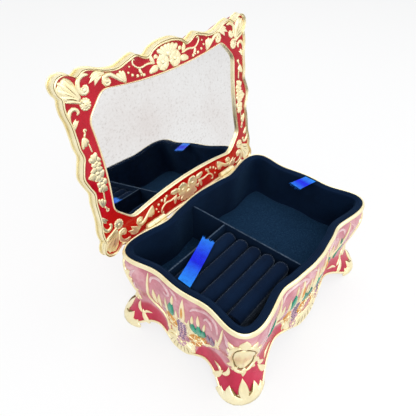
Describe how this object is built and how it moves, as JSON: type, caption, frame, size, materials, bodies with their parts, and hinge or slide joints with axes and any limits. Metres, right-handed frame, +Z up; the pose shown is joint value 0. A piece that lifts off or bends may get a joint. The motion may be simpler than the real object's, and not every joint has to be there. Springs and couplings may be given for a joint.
{
  "type": "jewellery case",
  "caption": "Footed rectangular jewellery case with serpentine sides, a hinged scalloped mirror lid and a velvet lift-out tray with ring rolls and ribbon tabs.",
  "frame": {"origin": "on the floor under the middle of the open case's bounding box", "axes": "+Z up, +Y towards the hinge side, +X along the hinge to the right as seen from the front"},
  "size_m": [0.1934, 0.1688, 0.2048],
  "materials": {
    "rose_enamel": "glossy rose and crimson enamel over cast relief with gilt lines",
    "red_enamel": "glossy crimson enamel with gilt relief",
    "lid_enamel": "glossy crimson enamel with a gilt edge",
    "gold_plate": "polished pale gold plate",
    "base_steel": "plain sheet",
    "black_velvet": "short-pile blue-black velvet",
    "mirror": "silvered glass",
    "card": "grey board",
    "blue_ribbon": "woven satin ribbon"
  },
  "bodies": {
    "case": {"body_shell": "rose_enamel", "rim_ring": "gold_plate", "base_plate": "base_steel", "store_lining": "black_velvet", "hinge_leaf_body_left": "gold_plate", "hinge_leaf_body_right": "gold_plate", "hinge_pin_left": "gold_plate", "hinge_pin_right": "gold_plate", "hinge_screws_body": "gold_plate"},
    "lid": {"lid_shell": "lid_enamel", "mirror_frame": "red_enamel", "mirror_glass": "mirror", "mirror_backing": "card", "hinge_leaf_lid_left": "gold_plate", "hinge_leaf_lid_right": "gold_plate", "hinge_screws_lid": "gold_plate"},
    "tray": {"tray_shell": "black_velvet", "tray_divider": "black_velvet", "ring_partition": "black_velvet", "ring_roll_1": "black_velvet", "ring_roll_2": "black_velvet", "ring_roll_3": "black_velvet", "ring_roll_4": "black_velvet", "ring_roll_5": "black_velvet", "floor_pad_right": "black_velvet", "floor_pad_back": "black_velvet", "ribbon_left": "blue_ribbon", "ribbon_right": "blue_ribbon"}
  },
  "joints": [
    {"name": "lid_hinge", "type": "hinge", "parent": "case", "child": "lid", "pos_m": [0, 0.04475, 0.0761], "axis": [-1, 0, 0], "range_deg": [-98.2, 0]},
    {"name": "tray_lift", "type": "slide", "parent": "case", "child": "tray", "axis": [0, 0, 1], "range_m": [0, 0.08]}
  ]
}
